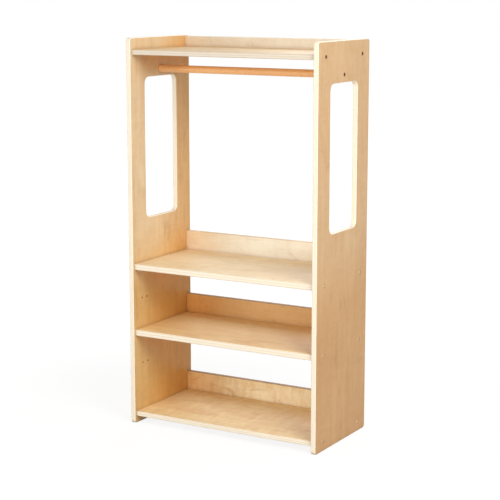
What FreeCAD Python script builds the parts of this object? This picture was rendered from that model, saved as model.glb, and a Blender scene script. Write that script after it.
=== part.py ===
import FreeCAD, Part
import os
from collections import namedtuple
from math import cos, radians, sin

# A child's open wardrobe rack of birch plywood. Two side panels with tall windows carry four shelves and a
# round hanging rod. A rail stands at the back of each shelf. Screws and dowels hold every joint.
# Millimetres. X runs to the right, Y to the back, Z up, from the floor under the middle of the rack.

# Overall size
WIDTH = 630.0
DEPTH = 318.0
HEIGHT = 1158.0

# Boards: the two inner shelves are thicker than the rest
PANEL_BOARD = 15.0
END_SHELF_BOARD = 15.0
MID_SHELF_BOARD = 18.0
RAIL_BOARD = 15.0
EDGE_EASE = 1.5

# Clear heights from the floor up: the hanging space takes what is left of the height
TOE_HEIGHT = 22.0
BOTTOM_BAY = 235.0
LOWER_BAY = 183.0
GALLERY = 34.0

# Shelves and rails between the panels
SHELF_SETBACK = 8.0
RAIL_HEIGHT = 60.0
TOP_RAIL_DROP = 3.0

# Side panel outline and window
CORNER_RADIUS = 10.0
WINDOW_MARGIN = 75.0
WINDOW_RADIUS = 20.0
WINDOW_ABOVE_SHELF = 131.0
WINDOW_BELOW_ROD = 22.0

# Hanging rod
ROD_DIAMETER = 22.0
ROD_DROP = 46.0

# Countersunk connector screws with a hexagon socket
SCREW_INSET = 46.0
SCREW_LENGTH = 50.0
SCREW_SHANK = 7.0
SCREW_HEAD_LIP = 1.5
SCREW_RECESS = 0.8
SCREW_CLEARANCE = 0.1
SCREW_END_GAP = 1.0
SOCKET_FLATS = 4.0
SOCKET_DEPTH = 2.4

# Dowels
DOWEL_DIAMETER = 8.0
DOWEL_LENGTH = 30.0
DOWEL_CHAMFER = 1.0
DOWEL_PITCH = 25.0
DOWEL_CLEARANCE = 0.1
DOWEL_END_GAP = 0.8
RAIL_DOWEL_PITCH = 28.0

# Blind holes in the panels' inner faces leave this much board behind them
BLIND_SKIN = 4.0

# Spare pin holes near the front, one step below each inner shelf
SPARE_STEP = 100.0
SPARE_DIAMETER = 6.0

# Flat sides that stand for a round on the small repeated fasteners and in the holes that they fill
SCREW_SIDES = 18
DOWEL_SIDES = 12
SOCKET_SIDES = 6

# Planes and lines that the pieces share
INNER_X = WIDTH / 2 - PANEL_BOARD
EDGE_Y = DEPTH / 2
SHELF_Y = EDGE_Y - SHELF_SETBACK
RAIL_FRONT_Y = SHELF_Y - RAIL_BOARD
RAIL_MIDDLE_Y = SHELF_Y - RAIL_BOARD / 2
SCREW_Y = EDGE_Y - SCREW_INSET
DOWEL_Y = SCREW_Y - DOWEL_PITCH
BLIND_DEPTH = PANEL_BOARD - BLIND_SKIN

LOWER_UNDERSIDE = TOE_HEIGHT + END_SHELF_BOARD + BOTTOM_BAY
MIDDLE_UNDERSIDE = LOWER_UNDERSIDE + MID_SHELF_BOARD + LOWER_BAY
TOP_UNDERSIDE = HEIGHT - GALLERY - END_SHELF_BOARD
ROD_Z = TOP_UNDERSIDE - ROD_DROP
WINDOW_TOP = ROD_Z - WINDOW_BELOW_ROD
WINDOW_BOTTOM = MIDDLE_UNDERSIDE + MID_SHELF_BOARD + WINDOW_ABOVE_SHELF

# The four shelf levels, each a shelf with the rail that stands on it
Level = namedtuple("Level", "name underside board rail_height")
BOTTOM = Level("bottom", TOE_HEIGHT, END_SHELF_BOARD, RAIL_HEIGHT)
LOWER = Level("lower", LOWER_UNDERSIDE, MID_SHELF_BOARD, RAIL_HEIGHT)
MIDDLE = Level("middle", MIDDLE_UNDERSIDE, MID_SHELF_BOARD, RAIL_HEIGHT)
TOP = Level("top", TOP_UNDERSIDE, END_SHELF_BOARD, GALLERY - TOP_RAIL_DROP)
LEVELS = [BOTTOM, LOWER, MIDDLE, TOP]
INNER_LEVELS = [LOWER, MIDDLE]

# Each side's name and the direction of X in which it lies
SIDES = {"left": -1, "right": 1}

ORIGIN = FreeCAD.Vector(0, 0, 0)
X_AXIS = FreeCAD.Vector(1, 0, 0)
Z_AXIS = FreeCAD.Vector(0, 0, 1)


def middle_z(level):
    """Height of the middle of a shelf's thickness."""
    return level.underside + level.board / 2


def top_z(level):
    """Height of a shelf's upper face."""
    return level.underside + level.board


# Places of the fasteners, as (y, z) on a panel


def shelf_screw_sites(level):
    """The screws in one end of a shelf, near its front and back edges."""
    return [(y, middle_z(level)) for y in (-SCREW_Y, SCREW_Y)]


def shelf_dowel_sites(level):
    """The dowels in one end of a shelf, one inside each screw."""
    return [(y, middle_z(level)) for y in (-DOWEL_Y, DOWEL_Y)]


def rail_dowel_sites(level):
    """The dowels in one end of a rail, evenly spaced about its middle."""
    count = max(1, int(level.rail_height // RAIL_DOWEL_PITCH))
    middle = top_z(level) + level.rail_height / 2
    lowest = middle - (count - 1) * RAIL_DOWEL_PITCH / 2
    return [(RAIL_MIDDLE_Y, lowest + k * RAIL_DOWEL_PITCH) for k in range(count)]


def rod_screw_sites():
    """The one screw in each end of the rod."""
    return [(0, ROD_Z)]


def spare_hole_sites(level):
    """The spare pin holes below a shelf, on the lines of its front screw and dowel."""
    return [(y, middle_z(level) - SPARE_STEP) for y in (-SCREW_Y, -DOWEL_Y)]


# Solid forms


def cross_board(y_low, y_high, z_low, z_high):
    """A board across the rack from panel to panel."""
    corner = FreeCAD.Vector(-INNER_X, y_low, z_low)
    return Part.makeBox(2 * INNER_X, y_high - y_low, z_high - z_low, corner)


def rounded_board(x_low, x_high, y_reach, z_low, z_high, radius):
    """An upright board facing X, its outline four lines joined by quarter arcs."""
    corners = [
        (y_reach - radius, z_low + radius, -90),
        (y_reach - radius, z_high - radius, 0),
        (radius - y_reach, z_high - radius, 90),
        (radius - y_reach, z_low + radius, 180),
    ]

    def on_arc(y, z, degrees):
        angle = radians(degrees)
        return FreeCAD.Vector(x_low, y + radius * cos(angle), z + radius * sin(angle))

    edges = []
    for (y, z, start), following in zip(corners, corners[1:] + corners[:1]):
        arc = Part.Arc(on_arc(y, z, start), on_arc(y, z, start + 45), on_arc(y, z, start + 90))
        edges.append(arc.toShape())
        edges.append(Part.makeLine(on_arc(y, z, start + 90), on_arc(*following)))
    return Part.Face(Part.Wire(edges)).extrude(X_AXIS * (x_high - x_low))


def polygon(along, radius, sides):
    """A regular polygon across the X axis, as a closed wire."""
    angles = [radians(360 * k / sides) for k in range(sides)]
    corners = [FreeCAD.Vector(along, radius * cos(angle), radius * sin(angle)) for angle in angles]
    return Part.makePolygon(corners + corners[:1])


def faceted(profile, sides):
    """A flat-sided solid about the X axis, through a polygon at each (along, radius) of a profile."""
    return Part.makeLoft([polygon(along, radius, sides) for along, radius in profile], True, True)


def inward(shape, side, x, sites):
    """Copies of a shape made along +X, pointing inwards from one side at the given (y, z) sites."""
    copies = []
    for y, z in sites:
        copy = shape.copy()
        if side > 0:
            copy.rotate(ORIGIN, Z_AXIS, 180)
        copy.translate(FreeCAD.Vector(side * x, y, z))
        copies.append(copy)
    return copies


# Fasteners and the holes that they fill


def screw():
    """A countersunk screw along +X, with the top of its head at the origin and a hexagon socket in it."""
    shank = SCREW_SHANK / 2
    profile = [(0, shank + SCREW_HEAD_LIP), (SCREW_HEAD_LIP, shank), (SCREW_LENGTH, shank)]
    corner = SOCKET_FLATS / 2 / cos(radians(180 / SOCKET_SIDES))
    socket = [(0, corner), (SOCKET_DEPTH, corner)]
    return faceted(profile, SCREW_SIDES).cut(faceted(socket, SOCKET_SIDES))


def screw_hole():
    """The countersunk hole round a screw, from the panel's outer face to just past the screw's end."""
    bore = SCREW_SHANK / 2 + SCREW_CLEARANCE
    mouth = bore + SCREW_HEAD_LIP + SCREW_RECESS
    profile = [(-SCREW_RECESS, mouth), (SCREW_HEAD_LIP, bore), (SCREW_LENGTH + SCREW_END_GAP, bore)]
    return faceted(profile, SCREW_SIDES)


def dowel():
    """A dowel along X with chamfered ends. The origin is where the board's end meets the panel."""
    start = DOWEL_END_GAP - BLIND_DEPTH
    end = start + DOWEL_LENGTH
    radius = DOWEL_DIAMETER / 2
    tip = radius - DOWEL_CHAMFER
    profile = [(start, tip), (start + DOWEL_CHAMFER, radius), (end - DOWEL_CHAMFER, radius), (end, tip)]
    return faceted(profile, DOWEL_SIDES)


def dowel_hole():
    """The two facing blind holes round a dowel."""
    bore = DOWEL_DIAMETER / 2 + DOWEL_CLEARANCE
    end = DOWEL_LENGTH + 2 * DOWEL_END_GAP - BLIND_DEPTH
    return faceted([(-BLIND_DEPTH, bore), (end, bore)], DOWEL_SIDES)


def spare_hole():
    """A round blind hole in a panel's inner face, which is at the origin."""
    return Part.makeCylinder(SPARE_DIAMETER / 2, BLIND_DEPTH, FreeCAD.Vector(-BLIND_DEPTH, 0, 0), X_AXIS)


def at_outer_face(shape, side, sites):
    """Screws, or their holes, set in from one panel's outer face."""
    return inward(shape, side, WIDTH / 2 - SCREW_RECESS, sites)


def at_inner_face(shape, side, sites):
    """Dowels, or blind holes, set at one panel's inner face."""
    return inward(shape, side, INNER_X, sites)


def both_sides(placed, shape, sites):
    """The same fasteners or holes at the left and the right panel."""
    return [copy for side in SIDES.values() for copy in placed(shape, side, sites)]


# The pieces


def panel(side):
    """A side panel: rounded outline and window with eased edges, then every hole that it carries."""
    x_low, x_high = sorted((side * INNER_X, side * WIDTH / 2))
    board = rounded_board(x_low, x_high, EDGE_Y, 0, HEIGHT, CORNER_RADIUS)
    window = rounded_board(x_low, x_high, EDGE_Y - WINDOW_MARGIN, WINDOW_BOTTOM, WINDOW_TOP, WINDOW_RADIUS)
    board = board.cut(window)
    outlines = [edge for edge in board.Edges if edge.BoundBox.XLength < EDGE_EASE]
    board = board.makeChamfer(EDGE_EASE, outlines)
    holes = at_outer_face(screw_hole(), side, rod_screw_sites())
    for level in LEVELS:
        holes += at_outer_face(screw_hole(), side, shelf_screw_sites(level))
        holes += at_inner_face(dowel_hole(), side, shelf_dowel_sites(level) + rail_dowel_sites(level))
    for level in INNER_LEVELS:
        holes += at_inner_face(spare_hole(), side, spare_hole_sites(level))
    return board.cut(holes)


def cross_edges(board, wanted):
    """The edges that run across the rack and whose middle passes a test."""
    return [edge for edge in board.Edges if edge.BoundBox.XLength > INNER_X and wanted(edge.CenterOfMass)]


def shelf(level):
    """A shelf, eased along the edges that show, with the holes in its ends."""
    board = cross_board(-SHELF_Y, SHELF_Y, level.underside, top_z(level))
    shown = cross_edges(board, lambda point: point.y < 0 or point.z < middle_z(level))
    board = board.makeChamfer(EDGE_EASE, shown)
    holes = both_sides(at_outer_face, screw_hole(), shelf_screw_sites(level))
    holes += both_sides(at_inner_face, dowel_hole(), shelf_dowel_sites(level))
    return board.cut(holes)


def rail(level):
    """A rail that stands on the back of a shelf, eased along its top, with dowel holes in its ends."""
    middle = top_z(level) + level.rail_height / 2
    board = cross_board(RAIL_FRONT_Y, SHELF_Y, top_z(level), top_z(level) + level.rail_height)
    board = board.makeChamfer(EDGE_EASE, cross_edges(board, lambda point: point.z > middle))
    return board.cut(both_sides(at_inner_face, dowel_hole(), rail_dowel_sites(level)))


def rod():
    """The hanging rod, end to end between the panels, with a screw hole in each end."""
    start = FreeCAD.Vector(-INNER_X, 0, ROD_Z)
    bar = Part.makeCylinder(ROD_DIAMETER / 2, 2 * INNER_X, start, X_AXIS)
    return bar.cut(both_sides(at_outer_face, screw_hole(), rod_screw_sites()))


def write(node, solids):
    """Writes one node, a single solid or a group of like fasteners."""
    shape = solids[0] if len(solids) == 1 else Part.makeCompound(solids)
    shape.exportStep("parts/" + node + ".step")


os.makedirs("parts", exist_ok=True)
for name, side in SIDES.items():
    write(name + "_side_panel", [panel(side)])
for level in LEVELS:
    write(level.name + "_shelf", [shelf(level)])
    write(level.name + "_back_rail", [rail(level)])
    write(level.name + "_shelf_screws", both_sides(at_outer_face, screw(), shelf_screw_sites(level)))
    write(level.name + "_shelf_dowels", both_sides(at_inner_face, dowel(), shelf_dowel_sites(level)))
    write(level.name + "_rail_dowels", both_sides(at_inner_face, dowel(), rail_dowel_sites(level)))
write("hanging_rod", [rod()])
write("rod_screws", both_sides(at_outer_face, screw(), rod_screw_sites()))
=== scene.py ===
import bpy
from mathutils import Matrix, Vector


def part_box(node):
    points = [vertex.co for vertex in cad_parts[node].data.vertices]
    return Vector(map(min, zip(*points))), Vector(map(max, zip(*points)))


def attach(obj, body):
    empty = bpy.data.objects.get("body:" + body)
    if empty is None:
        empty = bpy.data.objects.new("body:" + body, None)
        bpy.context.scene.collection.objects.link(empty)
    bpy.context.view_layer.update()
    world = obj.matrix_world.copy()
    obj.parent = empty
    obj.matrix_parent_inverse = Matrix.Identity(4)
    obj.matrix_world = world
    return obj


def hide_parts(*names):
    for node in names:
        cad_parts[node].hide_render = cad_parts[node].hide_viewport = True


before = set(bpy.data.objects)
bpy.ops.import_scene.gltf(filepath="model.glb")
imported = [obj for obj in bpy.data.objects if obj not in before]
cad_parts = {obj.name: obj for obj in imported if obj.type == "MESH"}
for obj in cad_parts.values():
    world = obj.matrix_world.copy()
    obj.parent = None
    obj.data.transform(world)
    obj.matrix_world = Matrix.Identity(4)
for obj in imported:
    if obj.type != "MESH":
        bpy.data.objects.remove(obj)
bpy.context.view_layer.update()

"""Looks for a child's open wardrobe rack of birch plywood.

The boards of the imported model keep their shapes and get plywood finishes. The hanging rod, the screws and the
dowels are made again as finer surfaces: rings of points that follow a turned profile. Lengths are in metres,
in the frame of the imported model: X to the right, Y to the back, Z up from the floor.
"""

import logging
import math
from dataclasses import dataclass, field, replace
from enum import Enum
from typing import Optional, Sequence, Union

import bpy
import numpy as np
from mathutils import Vector

log = logging.getLogger("wardrobe_rack")

Colour = tuple[float, float, float]
Triple = tuple[float, float, float]
Site = tuple[float, float]
Span = tuple[float, float]
Profile = tuple[np.ndarray, np.ndarray]
Material = bpy.types.Material
Socket = bpy.types.NodeSocket
Number = Union[float, Socket]
Tint = Union[Colour, Socket]
Inputs = dict[Union[int, str], Union[Number, Tint]]

MM = 0.001
BODY = "root"
PHOTO_PIXELS = 500.0

# A tint that changes nothing.
PLAIN: Colour = (1.0, 1.0, 1.0)

# The standard curve of chart colours: a straight toe, then a power.
TOE_END = 0.04045
TOE_SLOPE = 12.92
CURVE_LIFT = 0.055
CURVE_POWER = 2.4

# Share of the deeper colour where a tone of noise is even.
MID_TONE = 0.5

# How far one step of a seed moves a pattern along each axis.
SEED_RATES: Triple = (1.0, 0.7, 1.3)

# Rays that each reading of openness sends out.
OPENNESS_RAYS = 6

# Where a Mix node keeps its two colours and its result.
MIX_FIRST = 6
MIX_SECOND = 7
MIX_RESULT = 2

# Angle past which an edge of a turned piece stays sharp.
SHARP_DEGREES = 35.0

# Width of a box, in radii, under which it holds only one round piece.
ONE_PIECE_SPAN = 3.0


class Axis(Enum):
    """An axis of the rack, by its place in a vector."""

    X = 0
    Y = 1
    Z = 2


class Slot(Enum):
    """The record's material slots."""

    PANEL = "panel_ply"
    SHELF = "shelf_ply"
    RAIL = "rail_ply"
    ROD = "rod_wood"
    DOWEL = "dowel_wood"
    SCREW = "screw_metal"


class Level(Enum):
    """The four shelf levels, from the floor up."""

    BOTTOM = "bottom"
    LOWER = "lower"
    MIDDLE = "middle"
    TOP = "top"


class Side(Enum):
    """The two side panels, by the first word of their names."""

    LEFT = "left"
    RIGHT = "right"


def paint(red: int, green: int, blue: int) -> Colour:
    """Turn a colour as a paint chart gives it into the linear light that the nodes use.

    Args:
        red: Share of red, 0 to 255.
        green: Share of green, 0 to 255.
        blue: Share of blue, 0 to 255.

    Returns:
        The three linear shares, 0 to 1.
    """
    chart = np.array([red, green, blue]) / 255.0
    curve = ((chart + CURVE_LIFT) / (1.0 + CURVE_LIFT)) ** CURVE_POWER
    linear = np.where(chart <= TOE_END, chart / TOE_SLOPE, curve)
    return tuple(float(share) for share in linear)


def tinted(colour: Colour, tint: Colour) -> Colour:
    """A colour with each share multiplied by a tint's, at most 1."""
    return tuple(min(1.0, share * part) for share, part in zip(colour, tint))


class Recipe:
    """The node tree of a material or of the surround, with one short call for each kind of node in use."""

    def __init__(self, owner: Union[Material, bpy.types.World]) -> None:
        """Start with an empty tree.

        Args:
            owner: The new material or world.
        """
        self.owner = owner
        self.owner.use_nodes = True
        self.tree = self.owner.node_tree
        self.tree.nodes.clear()

    def plug(self, socket: Socket, value: Union[Number, Tint]) -> None:
        """Link a socket into an input, or write a plain value there.

        Args:
            socket: The input.
            value: A socket to link, a number, or three shares of a colour or vector.
        """
        if isinstance(value, bpy.types.NodeSocket):
            self.tree.links.new(value, socket)
        elif socket.type == "RGBA":
            socket.default_value = (*value, 1.0)
        else:
            socket.default_value = value

    def add(self, kind: str, inputs: Inputs, **settings: object) -> bpy.types.Node:
        """Add a node, set its properties and fill its inputs.

        Args:
            kind: The node's type name.
            inputs: What goes into its inputs, by their numbers or names.
            settings: Properties of the node, by name.

        Returns:
            The new node.
        """
        node = self.tree.nodes.new(kind)
        for name, value in settings.items():
            setattr(node, name, value)
        for name, value in inputs.items():
            self.plug(node.inputs[name], value)
        return node

    def run(self, kind: str, inputs: Inputs, output: Union[int, str] = 0, **settings: object) -> Socket:
        """Add a node and take one of its outputs, by its number or name."""
        return self.add(kind, inputs, **settings).outputs[output]

    def place(self) -> Socket:
        """The point's place in the frame of the rack, in metres."""
        return self.run("ShaderNodeTexCoord", {}, "Object")

    def facing(self) -> Socket:
        """The way the surface faces, in the frame of the rack."""
        return self.run("ShaderNodeTexCoord", {}, "Normal")

    def sheet_place(self) -> Socket:
        """The point's place on the piece's own unrolled surface."""
        return self.run("ShaderNodeTexCoord", {}, "UV")

    def math(self, operation: str, first: Number, second: Number = 0.0, clamp: bool = False) -> Socket:
        """One number worked out from two, kept between 0 and 1 where it is clamped."""
        return self.run("ShaderNodeMath", {0: first, 1: second}, operation=operation, use_clamp=clamp)

    def part(self, vector: Socket, axis: Axis) -> Socket:
        """The part of a vector along one axis."""
        return self.run("ShaderNodeSeparateXYZ", {0: vector}, axis.value)

    def stretch(self, vector: Socket, scales: Triple, start: Triple = (0.0, 0.0, 0.0)) -> Socket:
        """A place in a pattern's space, by its cells in a metre along each axis and its start in cells."""
        cells = {"Vector": vector, "Scale": scales, "Location": start}
        return self.run("ShaderNodeMapping", cells, vector_type="POINT")

    def noise(self, vector: Socket, detail: float, rough: float, bend: float) -> Socket:
        """Cloudy noise about 0.5, by its number of finer layers, their strength and its swirl."""
        form = {"Vector": vector, "Scale": 1.0, "Detail": detail, "Roughness": rough, "Distortion": bend}
        return self.run("ShaderNodeTexNoise", form, noise_dimensions="3D")

    def ease(
        self, value: Socket, low: float, high: float, out_low: float = 0.0, out_high: float = 1.0
    ) -> Socket:
        """A smooth step from one result, up to the low end, to another, from the high end on."""
        ends = {"Value": value, "From Min": low, "From Max": high, "To Min": out_low, "To Max": out_high}
        return self.run("ShaderNodeMapRange", ends, interpolation_type="SMOOTHSTEP", clamp=True)

    def spread(self, value: Socket, low: float, high: float) -> Socket:
        """A number from 0..1 spread in a straight line over the range from low to high."""
        return self.run("ShaderNodeMapRange", {"Value": value, "To Min": low, "To Max": high}, clamp=False)

    def weigh(self, tone: Number, *layers: tuple[Socket, float]) -> Socket:
        """Add layers of noise to a tone.

        Args:
            tone: The tone to start from.
            layers: Each layer's height, and the weight that it is spread over, evenly about nothing.

        Returns:
            The sum.
        """
        for height, weight in layers:
            tone = self.math("ADD", tone, self.spread(height, -weight / 2.0, weight / 2.0))
        return tone

    def blend(self, share: Number, first: Tint, second: Tint, way: str = "MIX") -> Socket:
        """Two colours mixed in a Mix node's way, by the share of the second."""
        colours = {"Factor": share, MIX_FIRST: first, MIX_SECOND: second}
        return self.run(
            "ShaderNodeMix", colours, MIX_RESULT, data_type="RGBA", blend_type=way, clamp_factor=True
        )

    def openness(self, reach: float) -> Socket:
        """How open the surface lies within a reach: 1 in the open, less in corners and holes."""
        return self.run("ShaderNodeAmbientOcclusion", {"Distance": reach}, "AO", samples=OPENNESS_RAYS)

    def bump(self, height: Socket, reach: float, strength: float) -> Socket:
        """The normal bent by a height, of which 1 stands for a reach in metres."""
        relief = {"Strength": strength, "Distance": reach, "Height": height}
        return self.run("ShaderNodeBump", relief)

    def mix(self, share: Socket, first: Socket, second: Socket) -> Socket:
        """Two shaders mixed by the share of the second."""
        return self.run("ShaderNodeMixShader", {0: share, 1: first, 2: second})

    def shade(self, colour: Tint, rough: Number, normal: Socket, fixed: dict[str, float]) -> Material:
        """Close the recipe with the surface shader.

        Args:
            colour: The surface's colour.
            rough: The surface's roughness.
            normal: The surface's relief.
            fixed: Values that are the same all over the surface, by their sockets' names.

        Returns:
            The finished material.
        """
        surface = {"Base Color": colour, "Roughness": rough, "Normal": normal, **fixed}
        shader = self.run("ShaderNodeBsdfPrincipled", surface)
        self.add("ShaderNodeOutputMaterial", {"Surface": shader})
        return self.owner


@dataclass(frozen=True)
class Layer:
    """One layer of cloudy noise in a finish.

    Along and across are its cells in a metre along the grain and across it. The detail, the roughness and the
    bend are the noise's own. The seed and the start say where the pattern begins, in cells.
    """

    along: float
    across: float
    detail: float = 2.0
    rough: float = 0.5
    bend: float = 0.0
    seed: float = 0.0
    start: Triple = (0.0, 0.0, 0.0)

    def height(self, recipe: Recipe, place: Socket, grain: Axis, shift: float = 0.0) -> Socket:
        """Lay the noise along a grain.

        Args:
            recipe: The recipe in the making.
            place: The point's place.
            grain: The axis along which the layer is drawn out.
            shift: What one board adds to the seed.

        Returns:
            The noise's height.
        """
        scales = tuple(self.along if axis is grain else self.across for axis in Axis)
        seed = self.seed + shift
        start = tuple(first + rate * seed for first, rate in zip(self.start, SEED_RATES))
        return recipe.noise(recipe.stretch(place, scales, start), self.detail, self.rough, self.bend)


@dataclass(frozen=True)
class PlyFinish:
    """Lacquered birch plywood: a veneered face, and edges on which the plies show.

    The figure is how strongly curl, clouds and smudges show, and the curl how strong the ripple across the
    grain is among them. The tint is one board's tone, painted lighter or darker for how light falls at its
    level. The shift is where its pattern starts, and the middle is the place of its middle through its
    thickness.

    Painted light and shade: the veneer of each face may go from a darker lower tone to an upper tone, and the
    inner one to a painted deeper shade away from its lit end, with a lag that grows higher up. It is painted
    deeper too just below a shelf, where shade falls: the shelters are the heights of the shelves' undersides.

    The bores are the (y, z) of open pin holes, which end at a distance from the middle of the rack. The sinks
    are those of the screws' countersinks, which lie beyond it. Their walls have painted shade in a lower and an
    upper colour.
    """

    slot: Slot
    grain: Axis
    stack: Axis
    pale: Colour
    honey: Colour
    smoke: Colour
    label: str = ""
    figure: float = 1.0
    curl: float = 0.55
    tint: Colour = PLAIN
    shift: float = 0.0
    middle: float = 0.0
    thickness: float = 15.0 * MM
    plies: int = 7

    # The veneer's layers of noise, their weights and their steps.
    slow: Layer = Layer(1.1, 9.0, 1.6, 0.5, 0.35, 3.1)
    streak: Layer = Layer(2.2, 48.0, 3.0, 0.55, 0.2, 7.7)
    ripple: Layer = Layer(46.0, 13.0, 2.0, 0.5, 0.9, 1.9)
    fibre: Layer = Layer(45.0, 950.0, 2.0, 0.6, 0.0, 5.3)
    cloud: Layer = Layer(5.0, 11.0, 3.0, 0.55, 0.9, 9.4)
    fleck: Layer = Layer(75.0, 620.0, 1.0, 0.4, 0.0, 2.2)
    smudge: Layer = Layer(10.0, 21.0, 4.0, 0.6, 1.4, 4.6)
    contour_rate: float = 90.0
    contour_weight: float = 0.05
    streak_weight: float = 0.60
    cloud_weight: float = 1.5
    fibre_weight: float = 0.40
    smudge_step: Span = (0.55, 0.76)
    smudge_share: float = 0.36
    fleck_step: Span = (0.66, 0.76)
    fleck_share: float = 0.35

    # Painted light and shade in whole faces: darker lower down, away from one end, and under the shelves.
    inner_tones: Optional[tuple[Colour, Colour]] = None
    outer_tones: Optional[tuple[Colour, Colour]] = None
    tone_start: float = 380.0 * MM
    tone_end: float = 610.0 * MM
    painted_deep_shade: Colour = PLAIN
    deep_shade_axis: Axis = Axis.Y
    deep_shade_start: float = -150.0 * MM
    deep_shade_end: float = 40.0 * MM
    deep_shade_lag: float = 100.0 * MM
    shelters: tuple[float, ...] = ()
    shelter_reach: float = 75.0 * MM
    shelter_board: float = 15.0 * MM
    shelter_front: float = -150.0 * MM
    shelter_depth: float = 100.0 * MM
    painted_shelf_shade: Colour = (1.03, 0.75, 0.46)

    # The edges' plies and glue lines, and a tone of painted shade over the edges.
    painted_edge_shade: Colour = PLAIN
    edge_pale: Colour = paint(253, 243, 223)
    edge_deep: Colour = paint(241, 222, 190)
    edge_glue: Colour = paint(205, 170, 124)
    waver: Layer = Layer(24.0, 24.0)
    pores: Layer = Layer(900.0, 900.0, 2.0, 0.6)
    long_streak: Layer = Layer(9.0, 260.0, 2.0, 0.6, 0.0, 6.1)
    waver_weight: float = 0.32
    long_streak_weight: float = 0.70
    ply_step: Span = (0.44, 0.56)
    pore_tint: Span = (0.35, 1.15)
    pore_height: Span = (0.0, 0.5)
    glue_width: float = 0.07
    glue_share: float = 0.45

    # The holes, with painted shade on their walls.
    bores: tuple[Site, ...] = ()
    bore_radius: float = 3.3 * MM
    bore_end: float = 313.0 * MM
    bore_wall_shade: Colour = paint(196, 130, 70)
    sinks: tuple[Site, ...] = ()
    sink_radius: float = 6.1 * MM
    sink_wall_shades: tuple[Colour, Colour] = (paint(40, 14, 0), paint(108, 64, 24))
    hole_blur: float = 0.25 * MM
    hole_share: float = 0.85

    # Where an edge turns into a face, dust and painted shade in corners, joints and holes, and the lacquer.
    face_step: Span = (0.80, 0.92)
    dust_and_shade_reach: float = 14.0 * MM
    dust_and_shade_step: Span = (0.25, 0.95)
    dust_and_shade_share: float = 0.42
    dust_and_shade_tint: Colour = (0.55, 0.45, 0.36)
    rough: Span = (0.52, 0.36)
    relief: float = 0.10 * MM
    relief_share: float = 0.6
    gloss: float = 0.4

    def material(self) -> Material:
        """Mix the face and the edge by the way the surface faces, and paint shade and dust into corners and
        holes.

        Returns:
            The material.
        """
        recipe = Recipe(bpy.data.materials.new(self.slot.value + self.label))
        place = recipe.place()
        face, fibre = self._face(recipe, place)
        edge, ply_height = self._edge(recipe, place)
        square_on = recipe.math("ABSOLUTE", recipe.part(recipe.facing(), self.stack))
        is_face = recipe.ease(square_on, *self.face_step)
        colour = recipe.blend(is_face, edge, face)
        if self.bores and self.sinks:
            colour = self._hole_shades(recipe, place, colour)
        # Painted shade with dust: the colour darkens towards a deeper tone where the surface is closed in.
        dust_and_shade = recipe.ease(recipe.openness(self.dust_and_shade_reach), *self.dust_and_shade_step, self.dust_and_shade_share, 0.0)
        colour = recipe.blend(dust_and_shade, colour, tinted(self.smoke, self.dust_and_shade_tint))
        height = recipe.math("ADD", recipe.math("MULTIPLY", fibre, is_face), ply_height)
        normal = recipe.bump(height, self.relief, self.relief_share)
        rough = recipe.spread(fibre, *self.rough)
        return recipe.shade(colour, rough, normal, {"Specular IOR Level": self.gloss})

    def _height(self, recipe: Recipe, place: Socket, layer: Layer) -> Socket:
        """The height of a layer that follows this board's grain and shift."""
        return layer.height(recipe, place, self.grain, self.shift)

    def _face(self, recipe: Recipe, place: Socket) -> tuple[Socket, Socket]:
        """The veneer: contour lines of a slow noise, streaks, fibres, curl across the grain, clouds, flecks.

        Args:
            recipe: The recipe in the making.
            place: The point's place.

        Returns:
            The face's colour and the height of its fibres.
        """
        slow = self._height(recipe, place, self.slow)
        contour = recipe.math("SINE", recipe.math("MULTIPLY", slow, self.contour_rate))
        fibre = self._height(recipe, place, self.fibre)
        tone = recipe.weigh(
            recipe.math("MULTIPLY", contour, self.contour_weight),
            (self._height(recipe, place, self.streak), self.streak_weight),
            (self._height(recipe, place, self.ripple), self.curl * self.figure),
            (self._height(recipe, place, self.cloud), self.cloud_weight * self.figure),
            (fibre, self.fibre_weight),
        )
        share = recipe.math("ADD", tone, MID_TONE, clamp=True)
        colour = recipe.blend(share, tinted(self.pale, self.tint), tinted(self.honey, self.tint))
        for layer, step, most in (
            (self.smudge, self.smudge_step, self.smudge_share * self.figure),
            (self.fleck, self.fleck_step, self.fleck_share),
        ):
            spot = recipe.ease(self._height(recipe, place, layer), *step, 0.0, most)
            colour = recipe.blend(spot, colour, tinted(self.smoke, self.tint))
        # Painted light and shade: the veneer's colour is multiplied by tones that stand in for how light falls.
        if self.inner_tones and self.outer_tones:
            colour = recipe.blend(1.0, colour, self._painted_light_tone(recipe, place), "MULTIPLY")
        return colour, fibre

    def _painted_light_tone(self, recipe: Recipe, place: Socket) -> Socket:
        """Painted light and shade in the veneer's tone: one tone on the inner face and one on the outer.

        Args:
            recipe: The recipe in the making.
            place: The point's place.

        Returns:
            The tone, to multiply the veneer's colour by.
        """
        facing = recipe.part(recipe.facing(), self.stack)
        outward = recipe.math("MULTIPLY", recipe.part(place, self.stack), facing)
        rise = recipe.ease(recipe.part(place, Axis.Z), self.tone_start, self.tone_end)
        inner, outer = recipe.blend(rise, *self.inner_tones), recipe.blend(rise, *self.outer_tones)
        # Painted shade: the inner face deepens away from its lit end, later higher up.
        if self.painted_deep_shade != PLAIN:
            lag = recipe.math("MULTIPLY", rise, self.deep_shade_lag)
            depth = recipe.math("SUBTRACT", recipe.part(place, self.deep_shade_axis), lag)
            inwards = recipe.ease(depth, self.deep_shade_start, self.deep_shade_end)
            inner = recipe.blend(inwards, inner, self.painted_deep_shade, "MULTIPLY")
        # Painted shade just below each shelf's underside.
        if self.shelters:
            inner = recipe.blend(self._under_shelf_shade(recipe, place), inner, self.painted_shelf_shade, "MULTIPLY")
        return recipe.blend(recipe.math("GREATER_THAN", outward, 0.0), inner, outer)

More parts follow.
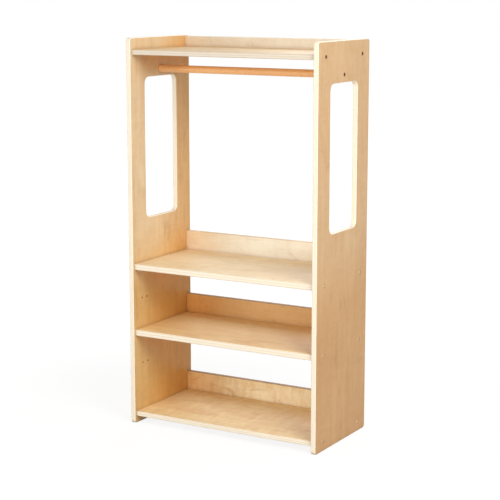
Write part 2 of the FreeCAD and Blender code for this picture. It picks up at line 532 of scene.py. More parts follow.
    def _under_shelf_shade(self, recipe: Recipe, place: Socket) -> Socket:
        """Painted shade just below a shelf's underside, fading out behind the shelf's own edge.

        Args:
            recipe: The recipe in the making.
            place: The point's place.

        Returns:
            1 at an underside, falling to 0 at the shelter's reach below it and towards the front.
        """
        height = recipe.part(place, Axis.Z)
        nearest: Number = 0.0
        for underside in self.shelters:
            near = recipe.ease(height, underside - self.shelter_reach, underside)
            below = recipe.ease(height, underside, underside + self.shelter_board, 1.0, 0.0)
            nearest = recipe.math("MAXIMUM", recipe.math("MULTIPLY", near, below), nearest)
        back = self.shelter_front + self.shelter_depth
        inwards = recipe.ease(recipe.part(place, Axis.Y), self.shelter_front, back)
        return recipe.math("MULTIPLY", nearest, inwards)

    def _edge(self, recipe: Recipe, place: Socket) -> tuple[Socket, Socket]:
        """The plies: equal bands through the thickness, every other one end grain, with glue lines between.

        Args:
            recipe: The recipe in the making.
            place: The point's place.

        Returns:
            The edge's colour and the height of its plies.
        """
        half_ply = 0.5
        out = recipe.math("ABSOLUTE", recipe.part(place, self.stack))
        through = recipe.math("SUBTRACT", out, self.middle)
        band = recipe.math("DIVIDE", through, self.thickness / self.plies)
        band = recipe.weigh(band, (self.waver.height(recipe, place, self.grain), self.waver_weight))
        end_grain = recipe.ease(recipe.math("PINGPONG", band, 1.0), *self.ply_step, 1.0, 0.0)
        pores = self.pores.height(recipe, place, self.grain)
        long_streak = self._height(recipe, place, self.long_streak)
        tint = recipe.math("MULTIPLY", end_grain, recipe.spread(pores, *self.pore_tint))
        lean = self.long_streak_weight / 2.0
        tint = recipe.math("ADD", tint, recipe.spread(long_streak, -lean, lean), clamp=True)
        pale, deep = tinted(self.edge_pale, self.painted_edge_shade), tinted(self.edge_deep, self.painted_edge_shade)
        colour = recipe.blend(tint, pale, deep)
        glue = recipe.math("PINGPONG", recipe.math("ADD", band, half_ply), half_ply)
        line = recipe.ease(glue, 0.0, self.glue_width, self.glue_share, 0.0)
        colour = recipe.blend(line, colour, self.edge_glue)
        return colour, recipe.math("MULTIPLY", end_grain, recipe.spread(pores, *self.pore_height))

    def _hole_shades(self, recipe: Recipe, place: Socket, colour: Socket) -> Socket:
        """Paint shade on the walls of the pin holes and of the screws' countersinks.

        Args:
            recipe: The recipe in the making.
            place: The point's place.
            colour: The board's colour.

        Returns:
            The colour with the painted shade of the walls in it.
        """
        out = recipe.math("ABSOLUTE", recipe.part(place, self.stack))
        upper = recipe.math("GREATER_THAN", recipe.part(place, Axis.Z), self.tone_end)
        # Painted shade: the walls near each hole's axis take darker colours.
        for side, sites, radius, wall in (
            ("LESS_THAN", self.bores, self.bore_radius, self.bore_wall_shade),
            ("GREATER_THAN", self.sinks, self.sink_radius, recipe.blend(upper, *self.sink_wall_shades)),
        ):
            within = recipe.math(side, out, self.bore_end)
            within = recipe.math("MULTIPLY", within, self._near(recipe, place, sites, radius))
            colour = recipe.blend(within, colour, wall)
        return colour

    def _near(self, recipe: Recipe, place: Socket, sites: Sequence[Site], radius: float) -> Socket:
        """Where the surface lies nearer to one of some axes along X than a radius.

        Args:
            recipe: The recipe in the making.
            place: The point's place.
            sites: The (y, z) of each axis.
            radius: The radius.

        Returns:
            Most of 1 near an axis, and otherwise 0.
        """
        flat = recipe.stretch(place, (0.0, 1.0, 1.0))
        nearest: Number = 1.0
        for y, z in sites:
            ends = {0: flat, 1: (0.0, y, z)}
            away = recipe.run("ShaderNodeVectorMath", ends, "Value", operation="DISTANCE")
            nearest = recipe.math("MINIMUM", away, nearest)
        return recipe.ease(nearest, radius - self.hole_blur, radius, self.hole_share, 0.0)


@dataclass(frozen=True)
class TurnedWoodFinish:
    """Solid hardwood with its grain along X: the hanging rod and the dowels."""

    slot: Slot
    pale: Colour
    deep: Colour
    pore: Colour
    rough: Span = (0.48, 0.34)
    ring: Layer = Layer(1.8, 150.0, 2.5, 0.55, 0.3, start=(2.0, 1.0, 4.0))
    cloud: Layer = Layer(7.0, 40.0, start=(5.0, 3.0, 0.0))
    fibre: Layer = Layer(60.0, 1400.0, 2.0, 0.6)
    pores: Layer = Layer(170.0, 900.0, 1.0, 0.4, start=(1.0, 7.0, 2.0))
    ring_weight: float = 1.4
    cloud_weight: float = 0.7
    fibre_weight: float = 0.4
    pore_step: Span = (0.62, 0.74)
    pore_share: float = 0.6
    relief: float = 0.06 * MM
    relief_share: float = 0.5
    gloss: float = 0.4

    def material(self) -> Material:
        """Rings of growth cut lengthways, fine fibres, and the short dark pores of a hard wood.

        Returns:
            The material.
        """
        recipe = Recipe(bpy.data.materials.new(self.slot.value))
        layers = (self.ring, self.cloud, self.fibre, self.pores)
        place = recipe.place()
        ring, cloud, fibre, pores = (layer.height(recipe, place, Axis.X) for layer in layers)
        weights = (self.ring_weight, self.cloud_weight, self.fibre_weight)
        tone = recipe.weigh(0.0, *zip((ring, cloud, fibre), weights))
        colour = recipe.blend(recipe.math("ADD", tone, MID_TONE, clamp=True), self.pale, self.deep)
        colour = recipe.blend(recipe.ease(pores, *self.pore_step, 0.0, self.pore_share), colour, self.pore)
        normal = recipe.bump(fibre, self.relief, self.relief_share)
        rough = recipe.spread(fibre, *self.rough)
        return recipe.shade(colour, rough, normal, {"Specular IOR Level": self.gloss})


@dataclass(frozen=True)
class BronzeFinish:
    """Bronzed steel, turned, with the brighter rub of a key on it."""

    slot: Slot
    dark: Colour
    rubbed: Colour
    # The socket colour is painted shade in the hollow of the socket.
    socket: Colour
    label: str = ""
    ring: Layer = Layer(2.0, 5200.0, 2.0, 0.6)
    stain: Layer = Layer(420.0, 420.0, 3.0, 0.6)
    ring_weight: float = 0.4
    rub_step: Span = (0.48, 0.85)
    socket_reach: float = 4.0 * MM
    socket_step: Span = (0.15, 0.85)
    socket_share: float = 0.95
    rough: Span = (0.30, 0.62)
    relief: float = 0.04 * MM
    relief_share: float = 0.4
    metal: float = 1.0

    def material(self) -> Material:
        """Fine turning rings across the profile, stains, rubbed places, and painted shade in the socket.

        Returns:
            The material.
        """
        recipe = Recipe(bpy.data.materials.new(self.slot.value + self.label))
        ring = self.ring.height(recipe, recipe.sheet_place(), Axis.X)
        stain = self.stain.height(recipe, recipe.place(), Axis.X)
        rub = recipe.ease(recipe.weigh(stain, (ring, self.ring_weight)), *self.rub_step)
        colour = recipe.blend(rub, self.dark, self.rubbed)
        # Painted shade: the colour darkens to the socket colour where the surface is closed in.
        socket_shade = recipe.ease(recipe.openness(self.socket_reach), *self.socket_step, self.socket_share, 0.0)
        colour = recipe.blend(socket_shade, colour, self.socket)
        normal = recipe.bump(ring, self.relief, self.relief_share)
        rough = recipe.spread(stain, *self.rough)
        return recipe.shade(colour, rough, normal, {"Metallic": self.metal})


@dataclass
class Turning:
    """A form about the X axis: rings of points that follow a profile, closed by a point at each end.

    The rings' places along X and their radii are whole arrays, so a form is a function of the place along the
    profile and the angle round it.
    """

    rings: np.ndarray

    @classmethod
    def from_radii(cls, along_x: np.ndarray, radii: np.ndarray) -> "Turning":
        """Set a radius for each place along X and each angle: y = r cos(angle), z = r sin(angle).

        Args:
            along_x: Place of each ring along X.
            radii: Radius for each ring and each angle.

        Returns:
            The form.
        """
        angle = turn_angles(radii.shape[1])
        x = np.broadcast_to(along_x[:, None], radii.shape)
        return cls(np.stack([x, radii * np.cos(angle), radii * np.sin(angle)], axis=-1))

    def copies(self, places: np.ndarray, signs: np.ndarray) -> np.ndarray:
        """Rings of a copy at each place, turned half round the upright axis where its sign is negative."""
        turn = np.stack([signs, signs, np.ones_like(signs)], axis=-1)
        return self.rings[None] * turn[:, None, None, :] + places[:, None, None, :]


def turn_angles(count: int) -> np.ndarray:
    """Equal angles once round, in radians."""
    return np.arange(count) * 2.0 * np.pi / count


def all_round(radii: np.ndarray, sides: int) -> np.ndarray:
    """One radius for each ring, repeated at every angle."""
    return np.repeat(radii[:, None], sides, axis=1)


def raised_cosine(angle: np.ndarray) -> np.ndarray:
    """Half the cosine plus a half: 1 at the start of a turn and 0 half-way round."""
    return 0.5 + 0.5 * np.cos(angle)


def hexagon_radius(count: int) -> np.ndarray:
    """Radius of a hexagon with flats at radius 1: one over the cosine of the angle from the nearest flat.

    Args:
        count: How many angles are taken once round.

    Returns:
        The radius at each angle.
    """
    third = np.pi / 3.0
    from_flat = (turn_angles(count) + third / 2.0) % third - third / 2.0
    return 1.0 / np.cos(from_flat)


def quarter_round(radius: float, ease: float, count: int) -> Profile:
    """A rounded end: depth = ease (1 - cos a), radius = radius - ease (1 - sin a), a up to a right angle."""
    corner = np.linspace(0.0, np.pi / 2.0, count)
    return ease * (1.0 - np.cos(corner)), radius - ease + ease * np.sin(corner)


def ring_quads(count: int, sides: int) -> np.ndarray:
    """Quads that join each ring of points to the next.

    Args:
        count: How many rings there are.
        sides: How many points each ring has.

    Returns:
        The points' numbers, four for each quad.
    """
    ring, turn = np.meshgrid(np.arange(count - 1), np.arange(sides), indexing="ij")
    near, far, following = ring * sides, (ring + 1) * sides, (turn + 1) % sides
    return np.stack([near + turn, near + following, far + following, far + turn], axis=-1).reshape(-1, 4)


def ring_map(rings: np.ndarray) -> tuple[np.ndarray, np.ndarray]:
    """The map of one copy's surface: once round across, and the length along the profile, in metres, upwards.

    The profile is each ring's place along X and its mean radius about its own middle. Its length is the sum
    of the straight steps between rings.

    Args:
        rings: Points as ring, angle and axis.

    Returns:
        Places on the map for the corners of the quads, and for those of the two fans that close the ends.
    """
    count, sides, _ = rings.shape
    middle = rings.mean(axis=1)
    radius = np.linalg.norm((rings - middle[:, None])[..., 1:], axis=-1).mean(axis=1)
    steps = np.linalg.norm(np.diff(np.stack([middle[:, 0], radius], axis=-1), axis=0), axis=-1)
    climb = np.concatenate([[0.0], np.cumsum(steps)])
    ring, turn = np.meshgrid(np.arange(count - 1), np.arange(sides), indexing="ij")
    across = np.stack([turn, turn + 1, turn + 1, turn], axis=-1) / sides
    upward = climb[np.stack([ring, ring, ring + 1, ring + 1], axis=-1)]
    edge = np.arange(sides)
    fan_across = np.stack([edge + 0.5, edge, edge + 1], axis=-1) / sides
    first_fan = np.stack([fan_across[:, [0, 2, 1]], np.zeros_like(fan_across)], axis=-1)
    last_fan = np.stack([fan_across, np.full_like(fan_across, climb[-1])], axis=-1)
    quads = np.stack([across, upward], axis=-1)
    return quads.reshape(-1, 2), np.concatenate([first_fan, last_fan]).reshape(-1, 2)


def ring_mesh(name: str, rings: np.ndarray) -> bpy.types.Object:
    """Join rings of points into closed surfaces, one for each copy.

    Quads join each ring to the next, and a fan of triangles closes each end at the middle of its last ring.

    Args:
        name: The piece's name.
        rings: Points as copy, ring, angle and axis.

    Returns:
        The piece, with its place in its mesh.
    """
    copies, count, sides, _ = rings.shape
    step = count * sides
    last = step - sides
    edge = np.arange(sides)
    after = (edge + 1) % sides
    first_fan = np.stack([np.full(sides, step), after, edge], axis=-1)
    last_fan = np.stack([np.full(sides, step + 1), last + edge, last + after], axis=-1)
    poles = rings[:, [0, -1]].mean(axis=2)
    points = np.concatenate([rings.reshape(copies, step, 3), poles], axis=1).reshape(-1, 3)
    first_point = np.arange(copies)[:, None, None] * (step + 2)
    fours = (ring_quads(count, sides)[None] + first_point).reshape(-1, 4)
    threes = (np.concatenate([first_fan, last_fan])[None] + first_point).reshape(-1, 3)
    mesh = bpy.data.meshes.new(name)
    mesh.from_pydata(points.tolist(), [], fours.tolist() + threes.tolist())
    corners = np.concatenate([np.tile(places, (copies, 1)) for places in ring_map(rings[0])])
    mesh.uv_layers.new(name="unrolled").data.foreach_set("uv", corners.astype(np.float32).ravel())
    mesh.polygons.foreach_set("use_smooth", np.ones(len(mesh.polygons), dtype=bool))
    mesh.set_sharp_from_angle(angle=math.radians(SHARP_DEGREES))
    mesh.update()
    piece = bpy.data.objects.new(name, mesh)
    bpy.context.scene.collection.objects.link(piece)
    return piece


def dress(node: str, material: Material) -> None:
    """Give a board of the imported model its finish.

    Args:
        node: The board's name.
        material: The finish.
    """
    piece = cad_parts[node]
    piece.data.materials.clear()
    piece.data.materials.append(material)
    log.info("%s keeps its shape and wears %s", node, material.name)


def settle(piece: bpy.types.Object, material: Material, slot: Slot, *nodes: str) -> None:
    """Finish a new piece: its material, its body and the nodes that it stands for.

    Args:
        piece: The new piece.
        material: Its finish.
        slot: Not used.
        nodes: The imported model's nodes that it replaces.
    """
    piece.data.materials.append(material)
    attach(piece, BODY)
    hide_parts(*nodes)
    log.info("%s stands for %s and wears %s", piece.name, ", ".join(nodes), material.name)


@dataclass(frozen=True)
class Sheet:
    """The sheet that one board is cut from: where its pattern starts, its tone, its figure and its curl.

    The tint, the left and the edge are painted light and shade: the board's tone, the deeper tone of its left
    end, and the tone of its edges.
    """

    shift: float
    tint: Colour
    figure: float
    curl: float = 0.55
    left: Colour = PLAIN
    edge: Colour = PLAIN


def sites_mm(rows: Sequence[float], heights: Sequence[float]) -> tuple[Site, ...]:
    """The (y, z) of every row at every height, turned from millimetres into metres."""
    return tuple((y * MM, z * MM) for z in heights for y in rows)


@dataclass
class Finishes:
    """Every finish of the rack, made once.

    The boards of each level are cut from their own sheets, toned with painted light and shade for that level.
    """

    panel: PlyFinish = PlyFinish(
        Slot.PANEL, Axis.Z, Axis.X, paint(244, 206, 153), paint(222, 174, 118), paint(182, 128, 76),
        # Painted shade: the panel's tones are darker and deeper lower down, and deeper towards the back inside.
        inner_tones=((0.82, 0.83, 0.70), (0.91, 1.04, 1.27)),
        outer_tones=((0.74, 0.65, 0.54), (0.82, 0.82, 0.87)),
        painted_deep_shade=(1.04, 0.85, 0.585), figure=0.75, middle=307.5 * MM,
        bores=sites_mm((-113.0, -88.0), (181.0, 382.0)),
        sinks=sites_mm((-113.0, 113.0), (29.5, 281.0, 482.0, 1116.5)) + sites_mm((0.0,), (1063.0,)),
    )
    shelf: PlyFinish = PlyFinish(
        Slot.SHELF, Axis.X, Axis.Z, paint(249, 224, 181), paint(231, 194, 143), paint(194, 146, 94), plies=5,
    )
    rail: PlyFinish = PlyFinish(
        Slot.RAIL, Axis.X, Axis.Y, paint(252, 233, 197), paint(238, 208, 162), paint(196, 150, 100),
        outer_tones=((0.96, 0.92, 0.86), (0.96, 0.92, 0.86)), middle=143.5 * MM,
        # Painted shade: each rail deepens to its level's left tone towards the left panel.
        deep_shade_axis=Axis.X, deep_shade_start=-110.0 * MM, deep_shade_end=-295.0 * MM, deep_shade_lag=0.0,
    )
    rod: TurnedWoodFinish = TurnedWoodFinish(
        Slot.ROD, paint(255, 206, 141), paint(253, 178, 114), paint(178, 104, 54),
    )
    dowel: TurnedWoodFinish = TurnedWoodFinish(
        Slot.DOWEL, paint(233, 200, 158), paint(212, 170, 122), paint(160, 112, 70), rough=(0.75, 0.6),
    )
    # Lit and shaded copies of one bronze: the dark one for the top and the rod, a painted highlight below.
    screw: BronzeFinish = BronzeFinish(Slot.SCREW, paint(100, 60, 12), paint(130, 84, 24), paint(44, 24, 4))
    painted_highlight_screw: BronzeFinish = BronzeFinish(
        Slot.SCREW, paint(252, 216, 164), paint(255, 244, 216), paint(110, 66, 26), label="_painted_highlight",
    )
    # Painted light and shade: each level's tint and edge tone stand in for how light falls there.
    shelf_sheets_and_painted_light: dict[Level, Sheet] = field(default_factory=lambda: {
        Level.BOTTOM: Sheet(11.0, (1.05, 1.07, 1.00), 1.15, curl=1.4),
        Level.LOWER: Sheet(16.0, (1.05, 1.01, 0.87), 1.05),
        Level.MIDDLE: Sheet(21.0, (1.05, 1.12, 1.22), 1.05),
        Level.TOP: Sheet(26.0, (0.88, 0.80, 0.65), 1.05, edge=(0.79, 0.78, 0.79)),
    })
    # Painted light and shade: each rail's tint, left-end tone and edge tone stand in for how light falls there.
    rail_sheets_and_painted_light: dict[Level, Sheet] = field(default_factory=lambda: {
        Level.BOTTOM: Sheet(41.0, (1.03, 1.07, 1.07), 1.5, 1.8, (0.99, 0.77, 0.54), (0.45, 0.33, 0.21)),
        Level.LOWER: Sheet(44.0, (0.83, 0.65, 0.43), 1.1, 0.55, (1.14, 0.97, 0.72), (0.45, 0.33, 0.21)),
        Level.MIDDLE: Sheet(47.0, (0.97, 1.12, 1.42), 0.85, 0.55, (1.08, 0.98, 0.87), (0.85, 0.74, 0.60)),
        Level.TOP: Sheet(50.0, (1.02, 1.14, 1.43), 0.85, 0.55, (1.0, 0.95, 0.87)),
    })
    made: dict[Slot, Material] = field(default_factory=dict)
    painted_highlight_bronze: Optional[Material] = None

    def mix(self) -> None:
        """Make the materials that whole kinds of piece share."""
        undersides = tuple(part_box(f"{level.value}_shelf")[0].z for level in Level)
        for finish in (replace(self.panel, shelters=undersides), self.rod, self.dowel, self.screw):
            self.made[finish.slot] = finish.material()
        self.painted_highlight_bronze = self.painted_highlight_screw.material()

    def screw_at(self, level: Level) -> Material:
        """The bronze of one level's screws: the dark copy at the top, and the painted-highlight copy below."""
        return self.made[Slot.SCREW] if level is Level.TOP else self.painted_highlight_bronze

    def shelf_at(self, level: Level, middle: float, thickness: float) -> Material:
        """Make the plywood of one shelf.

        Args:
            level: The shelf's level.
            middle: Height of the middle of its thickness.
            thickness: Its thickness.

        Returns:
            The material.
        """
        sheet = self.shelf_sheets_and_painted_light[level]
        board = replace(self.shelf, tint=sheet.tint, middle=middle, thickness=thickness)
        return self._cut(board, level, sheet)

    def rail_at(self, level: Level) -> Material:
        """Make the plywood of one rail.

        Args:
            level: The rail's level.

        Returns:
            The material.
        """
        sheet = self.rail_sheets_and_painted_light[level]
        board = replace(self.rail, inner_tones=(sheet.tint, sheet.tint), painted_deep_shade=sheet.left)
        return self._cut(board, level, sheet)

    def _cut(self, board: PlyFinish, level: Level, sheet: Sheet) -> Material:
        """Make a board's plywood with the figure, the edges and the start of its sheet."""
        figure = {"figure": sheet.figure, "curl": sheet.curl, "shift": sheet.shift}
        return replace(board, label=f"_{level.value}", painted_edge_shade=sheet.edge, **figure).material()


@dataclass
class SidePanel:
    """One side panel: an upright board with a window, its edges eased."""

    side: Side

    def dress(self, finishes: Finishes) -> None:
        """Give the panel its plywood."""
        dress(f"{self.side.value}_side_panel", finishes.made[Slot.PANEL])


@dataclass
class Screw:
    """A countersunk screw with a low domed head and a hexagon socket, made along +X from the head's rim.

    The floor, bevel, mouth and dome shares are radii in parts of the socket's, and the tip's share is a
    radius in parts of the shank's. The thread's power makes its crests broad where it is under 1.
    """

    head_radius: float = 5.0 * MM
    shank_radius: float = 3.5 * MM
    length: float = 50.0 * MM
    rim: float = 0.3 * MM
    rim_start: float = 0.2
    rim_rings: int = 5
    crown: float = 0.75 * MM
    dome_share: float = 1.5
    dome_rings: int = 7
    neck: float = 0.2 * MM
    socket_radius: float = 2.0 * MM
    socket_depth: float = 2.4 * MM
    socket_cone: float = 0.5 * MM
    socket_lip: float = 0.25 * MM
    floor_share: float = 0.15
    bevel_share: float = 0.92
    mouth_share: float = 1.30
    thread_start: float = 14.0 * MM
    thread_pitch: float = 3.0 * MM
    thread_depth: float = 0.7 * MM
    thread_power: float = 0.7
    tip: float = 2.0 * MM
    tip_share: float = 0.55
    sides: int = 48
    steps_per_turn: int = 8

    def form(self) -> Turning:
        """Carry a profile round the screw's axis.

        From the socket's floor it climbs the six flats to the head's dome, whose height falls with the square
        of the radius, rounds the rim, goes down the cone to the shank, and follows a thread: the radius dips
        by the thread's depth times one less a power of a raised cosine, taken of the angle less the place
        along the screw in turns. The tip draws in to a blunt end.

        Returns:
            The form.
        """
        runs = (self._socket_rings(), self._head_rings(), self._thread_rings())
        places, radii = (np.concatenate(run) for run in zip(*runs))
        return Turning.from_radii(places, radii)

    def _dome(self, radius: np.ndarray) -> np.ndarray:
        """Place along the screw of the dome's surface at each radius."""
        return self.crown * ((radius / self.head_radius) ** 2 - 1.0)

    def _socket_rings(self) -> Profile:
        """The socket: a hexagon's rings from its coned floor up to a bevelled mouth in the dome.

        Returns:
            The rings' places and their radii at every angle.
        """
        mouth = np.array([self.socket_radius * self.mouth_share])
        top = float(self._dome(mouth)[0])
        floor = self.socket_depth
        places = np.array([floor + self.socket_cone, floor, floor, top + self.socket_lip, top])
        shares = np.array([self.floor_share, self.bevel_share, 1.0, 1.0])
        flats = shares[:, None] * hexagon_radius(self.sides) * self.socket_radius
        return places, np.concatenate([flats, all_round(mouth, self.sides)])

    def _head_rings(self) -> Profile:
        """The head: a dome out to a quarter-round rim, then a cone down to the shank.

        Returns:
            The rings' places and their radii at every angle.
        """
        dome_end = self.head_radius - self.rim * 2.0
        dome = np.linspace(self.socket_radius * self.dome_share, dome_end, self.dome_rings)
        corner = np.linspace(self.rim_start, np.pi / 2.0, self.rim_rings)
        rim_places = self._dome(dome[-1:]) + self.rim * (1.0 - np.cos(corner))
        shank = self.head_radius - self.shank_radius + self.neck
        places = np.concatenate([self._dome(dome), rim_places, [shank, self.thread_start]])
        radii = np.concatenate([dome, dome_end + self.rim * np.sin(corner), [self.shank_radius] * 2])
        return places, all_round(radii, self.sides)

    def _thread_rings(self) -> Profile:
        """The threaded shank and the tip.

        Returns:
            The rings' places and their radii at every angle.
        """
        run = self.length - self.thread_start
        count = int(run / self.thread_pitch * self.steps_per_turn)
        place = self.thread_start + np.linspace(0.0, run, count + 1)[1:]
        turns = ((place - self.thread_start) / self.thread_pitch)[:, None]
        crest = raised_cosine(turn_angles(self.sides)[None] - 2.0 * np.pi * turns) ** self.thread_power
        dip = self.thread_depth * (1.0 - crest) * np.clip(turns, 0.0, 1.0)
        taper = np.clip((self.length - place) / self.tip, 0.0, 1.0)[:, None]
        drawn_in = self.tip_share + (1.0 - self.tip_share) * np.sqrt(taper)
        return place, (self.shank_radius - dip) * drawn_in


@dataclass
class Dowel:
    """A fluted wooden dowel with rounded ends, made along +X from its outer end."""

    radius: float = 4.0 * MM
    length: float = 30.0 * MM
    ease: float = 1.0 * MM
    ease_rings: int = 6
    run_margin: float = 2.0 * MM
    run_rings: int = 5
    flutes: int = 20
    flute_depth: float = 0.3 * MM
    points_per_flute: int = 4

    def form(self) -> Turning:
        """Carry a quarter-round, a straight run and a quarter-round about the axis.

        The radius dips by the flute's depth times one less a raised cosine of the flutes' count times the
        angle, and not at all at the ends.

        Returns:
            The form.
        """
        nose_x, nose_r = quarter_round(self.radius, self.ease, self.ease_rings)
        run = np.linspace(self.run_margin, self.length - self.run_margin, self.run_rings)
        places = np.concatenate([nose_x, run, self.length - nose_x[::-1]])
        outer = np.concatenate([nose_r, np.full(run.shape, self.radius), nose_r[::-1]])
        smooth = np.zeros(self.ease_rings)
        depth = np.concatenate([smooth, np.full(run.shape, self.flute_depth), smooth])
        angle = turn_angles(self.flutes * self.points_per_flute)
        dip = 1.0 - raised_cosine(self.flutes * angle)
        return Turning.from_radii(places, outer[:, None] - depth[:, None] * dip[None])


def axes_between(low: float, high: float, radius: float) -> tuple[float, ...]:
    """Where the axes of round pieces lie across a box that holds one or two of them.

    Args:
        low: The box's lower end.
        high: The box's upper end.
        radius: The pieces' radius.

    Returns:
        The middle of a box that only one piece fits in, and otherwise the places a radius in from its ends.
    """
    if high - low < ONE_PIECE_SPAN * radius:
        return ((low + high) / 2.0,)
    return (low + radius, high - radius)


def mirrored_sites(outer_x: float, sites: Sequence[Site]) -> tuple[np.ndarray, np.ndarray]:
    """Sites on both panels for forms that point inwards.

    Args:
        outer_x: Distance of the forms' outer ends from the middle of the rack.
        sites: The (y, z) of each form on one panel.

    Returns:
        The places on the left and then the right panel, and the signs of the forms' directions.
    """
    flat = np.array(sites, dtype=float)
    signs = np.repeat([1.0, -1.0], len(flat))
    return np.column_stack([-outer_x * signs, np.concatenate([flat, flat])]), signs


@dataclass
class ShelfUnit:
    """One shelf, the rail at its back edge, and the screws and dowels in their ends."""

    level: Level
    screw: Screw = field(default_factory=Screw)
    dowel: Dowel = field(default_factory=Dowel)

    def dress(self, finishes: Finishes) -> None:
        """Give the shelf and the rail their plywood.

        Args:
            finishes: The rack's finishes.
        """
        board = f"{self.level.value}_shelf"
        low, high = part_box(board)
        dress(board, finishes.shelf_at(self.level, (low.z + high.z) / 2.0, high.z - low.z))
        dress(f"{self.level.value}_back_rail", finishes.rail_at(self.level))

    def build(self, finishes: Finishes) -> None:
        """Make the screws and the dowels again as finer surfaces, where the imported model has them.

        Args:
            finishes: The rack's finishes.
        """
        name = self.level.value
        bronze, wood = finishes.screw_at(self.level), finishes.made[Slot.DOWEL]
        self._set(f"{name}_shelf_screws", self.screw.form(), self.screw.head_radius, bronze, Slot.SCREW)
        for kind in ("shelf", "rail"):
            self._set(f"{name}_{kind}_dowels", self.dowel.form(), self.dowel.radius, wood, Slot.DOWEL)

    def _set(self, node: str, form: Turning, radius: float, material: Material, slot: Slot) -> None:
        """Stand a form at each corner of a node's box, drawn in by the form's radius.

        Args:
            node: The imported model's node.
            form: The form, made along +X.
            radius: The form's largest radius.
            material: The piece's finish.
            slot: The record's slot.
        """
        low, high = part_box(node)
        rows, heights = axes_between(low.y, high.y, radius), axes_between(low.z, high.z, radius)
        sites = [(y, z) for y in rows for z in heights]
        piece = ring_mesh(f"{node}_turned", form.copies(*mirrored_sites(high.x, sites)))
        settle(piece, material, slot, node)


@dataclass
class HangingRod:
    """The round rod between the panels, with a screw in each end."""

    node: str = "hanging_rod"
    screw_node: str = "rod_screws"
    ease: float = 0.8 * MM
    ease_rings: int = 6
    bore_radius: float = 3.6 * MM
    bore_depth: float = 36.0 * MM
    bore_floor_share: float = 0.5
    run_margin: float = 2.4 * MM
    rings: int = 40
    sides: int = 96
    screw: Screw = field(default_factory=Screw)

    def build(self, finishes: Finishes) -> None:
        """Make the rod and its screws as finer surfaces.

        Args:
            finishes: The rack's finishes.
        """
        low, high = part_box(self.node)
        middle = (low + high) / 2.0
        form = self._form(high.x, (high.z - low.z) / 2.0)
        place = np.array([[0.0, middle.y, middle.z]])
        rod = ring_mesh("hanging_rod_turned", form.copies(place, np.ones(1)))
        settle(rod, finishes.made[Slot.ROD], Slot.ROD, self.node)
        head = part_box(self.screw_node)[1].x
        copies = self.screw.form().copies(*mirrored_sites(head, [(middle.y, middle.z)]))
        screws = ring_mesh("rod_screws_turned", copies)
        settle(screws, finishes.made[Slot.SCREW], Slot.SCREW, self.screw_node)

    def _form(self, reach: float, radius: float) -> Turning:
        """Carry half a profile about the axis and mirror it: bore, end face, quarter-round, straight run.

        Args:
            reach: Half the rod's length.
            radius: The rod's radius.

        Returns:
            The form.
        """
        nose_x, nose_r = quarter_round(radius, self.ease, self.ease_rings)
        floor = reach - self.bore_depth
        bore_r = self.bore_radius * np.array([self.bore_floor_share, 1.0, 1.0])
        end_x = np.concatenate([[floor, floor, reach], reach - nose_x])
        end_r = np.concatenate([bore_r, nose_r])
        run = np.linspace(reach - self.run_margin, self.run_margin - reach, self.rings)
        places = np.concatenate([-end_x, -run, end_x[::-1]])
        radii = np.concatenate([end_r, np.full(run.shape, radius), end_r[::-1]])
        return Turning.from_radii(places, all_round(radii, self.sides))


@dataclass(frozen=True)
class Lamp:
    """A soft square lamp."""

    name: str
    place: Triple
    aim: Triple
    width: float
    watts: float

    def build(self) -> None:
        """Hang the lamp and turn it to its aim."""
        data = bpy.data.lights.new(self.name, "AREA")
        data.shape = "SQUARE"
        data.size = self.width
        data.energy = self.watts
        lamp = bpy.data.objects.new(self.name, data)
        bpy.context.scene.collection.objects.link(lamp)
        lamp.location = self.place
        lamp.rotation_euler = (Vector(self.aim) - Vector(self.place)).to_track_quat("-Z", "Y").to_euler()
        log.info("%s gives %.0f watts", self.name, self.watts)


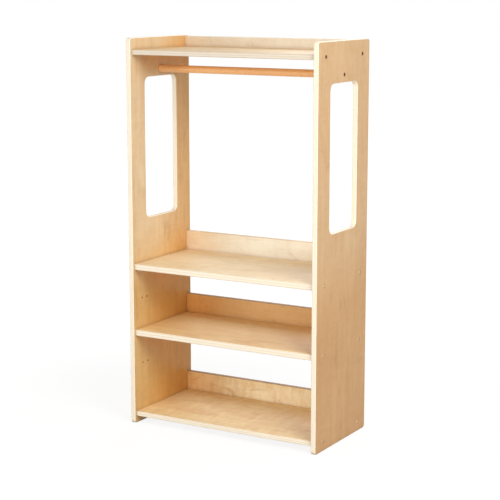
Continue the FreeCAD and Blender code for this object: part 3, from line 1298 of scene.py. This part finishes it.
@dataclass
class Studio:
    """The pale floor, the white surround, the lamps and the camera."""

    eye: Triple = (2.1432, -3.6713, 1.3139)
    turn_degrees: float = 30.159
    tilt_degrees: float = 10.356
    focal_pixels: float = 1460.7
    film_width: float = 36.0
    sight: float = 100.0
    floor_reach: float = 14.0
    floor_rings: int = 48
    floor_sides: int = 96
    floor_white: Colour = (0.95, 0.95, 0.95)
    floor_bounce: Colour = (0.5, 0.5, 0.5)
    shadow_near: float = 0.6
    shadow_far: float = 1.6
    shadow_share: float = 0.17
    paper_glow: float = 1.05
    surround: Colour = (1.0, 0.985, 0.965)
    surround_strength: float = 0.40
    lamps: tuple[Lamp, ...] = (
        Lamp("front_lamp", (1.40, -3.15, 0.62), (0.0, 0.0, 0.5), 1.2, 27.0),
        Lamp("right_lamp", (2.52, -1.46, 2.25), (0.0, 0.0, 0.7), 1.6, 71.0),
        Lamp("left_lamp", (-1.92, -2.85, 0.62), (0.0, 0.0, 0.5), 1.2, 25.0),
        Lamp("back_lamp", (-0.60, 2.90, 2.40), (0.0, 0.0, 0.5), 1.8, 30.0),
    )

    def build(self) -> None:
        """Make the whole studio."""
        self._floor()
        self._world()
        for lamp in self.lamps:
            lamp.build()
        self._camera()
        bpy.context.scene.view_settings.view_transform = "Standard"

    def _seen(self, recipe: Recipe) -> Socket:
        """Whether a ray comes from the camera, a gloss or a clear piece: the largest of the three.

        Args:
            recipe: The recipe in the making.

        Returns:
            1 for such a ray, and otherwise 0.
        """
        found = recipe.run("ShaderNodeLightPath", {}, "Is Camera Ray")
        for name in ("Is Glossy Ray", "Is Transmission Ray"):
            found = recipe.math("MAXIMUM", found, recipe.run("ShaderNodeLightPath", {}, name))
        return found

    def _floor(self) -> None:
        """A round floor: flat rings whose radius grows with the square of the ring's number."""
        count, sides = self.floor_rings, self.floor_sides
        ring, turn = np.meshgrid(np.arange(1, count + 1), turn_angles(sides), indexing="ij")
        radius = self.floor_reach * (ring / count) ** 2
        points = np.stack([radius * np.cos(turn), radius * np.sin(turn), np.zeros_like(radius)], axis=-1)
        quads = ring_quads(count, sides)[:, ::-1]
        hub = list(range(sides))
        mesh = bpy.data.meshes.new("floor")
        mesh.from_pydata(points.reshape(-1, 3).tolist(), [], quads.tolist() + [hub])
        mesh.materials.append(self._floor_material())
        floor = bpy.data.objects.new("floor", mesh)
        bpy.context.scene.collection.objects.link(floor)

    def _floor_material(self) -> Material:
        """White paper: near the rack it keeps a share of the shadow, and further off it is plain white.

        Returns:
            The material.
        """
        recipe = Recipe(bpy.data.materials.new("floor_paper"))
        bounce = recipe.run("ShaderNodeBsdfDiffuse", {"Color": self.floor_bounce})
        paper = recipe.run("ShaderNodeBsdfDiffuse", {"Color": self.floor_white})
        white = recipe.run("ShaderNodeEmission", {"Strength": self.paper_glow})
        away = recipe.run("ShaderNodeVectorMath", {0: recipe.place()}, "Value", operation="LENGTH")
        far = recipe.ease(away, self.shadow_near, self.shadow_far, 1.0 - self.shadow_share, 1.0)
        shown = recipe.mix(far, paper, white)
        mixed = recipe.mix(self._seen(recipe), bounce, shown)
        recipe.add("ShaderNodeOutputMaterial", {"Surface": mixed})
        return recipe.owner

    def _world(self) -> None:
        """Even soft light from all round, plain white where it is seen."""
        recipe = Recipe(bpy.data.worlds.new("surround"))
        even = {"Color": self.surround, "Strength": self.surround_strength}
        light = recipe.run("ShaderNodeBackground", even)
        white = recipe.run("ShaderNodeBackground", {"Color": PLAIN})
        mixed = recipe.mix(self._seen(recipe), light, white)
        recipe.add("ShaderNodeOutputWorld", {"Surface": mixed})
        bpy.context.scene.world = recipe.owner

    def _camera(self) -> None:
        """A camera at the photograph's place, with no depth of field."""
        data = bpy.data.cameras.new("camera")
        data.sensor_fit = "HORIZONTAL"
        data.sensor_width = self.film_width
        data.lens = self.focal_pixels / PHOTO_PIXELS * self.film_width
        data.clip_end = self.sight
        camera = bpy.data.objects.new("camera", data)
        bpy.context.scene.collection.objects.link(camera)
        camera.location = self.eye
        lean = math.radians(90.0 - self.tilt_degrees)
        camera.rotation_euler = (lean, 0.0, math.radians(self.turn_degrees))
        bpy.context.scene.camera = camera


def main() -> None:
    """Build the rack's looks in order: finishes, panels, shelves, rod, studio."""
    logging.basicConfig(level=logging.INFO, format="%(message)s")
    finishes = Finishes()
    finishes.mix()
    for side in Side:
        SidePanel(side).dress(finishes)
    for level in Level:
        unit = ShelfUnit(level)
        unit.dress(finishes)
        unit.build(finishes)
    HangingRod().build(finishes)
    Studio().build()


if __name__ == "__main__":
    main()
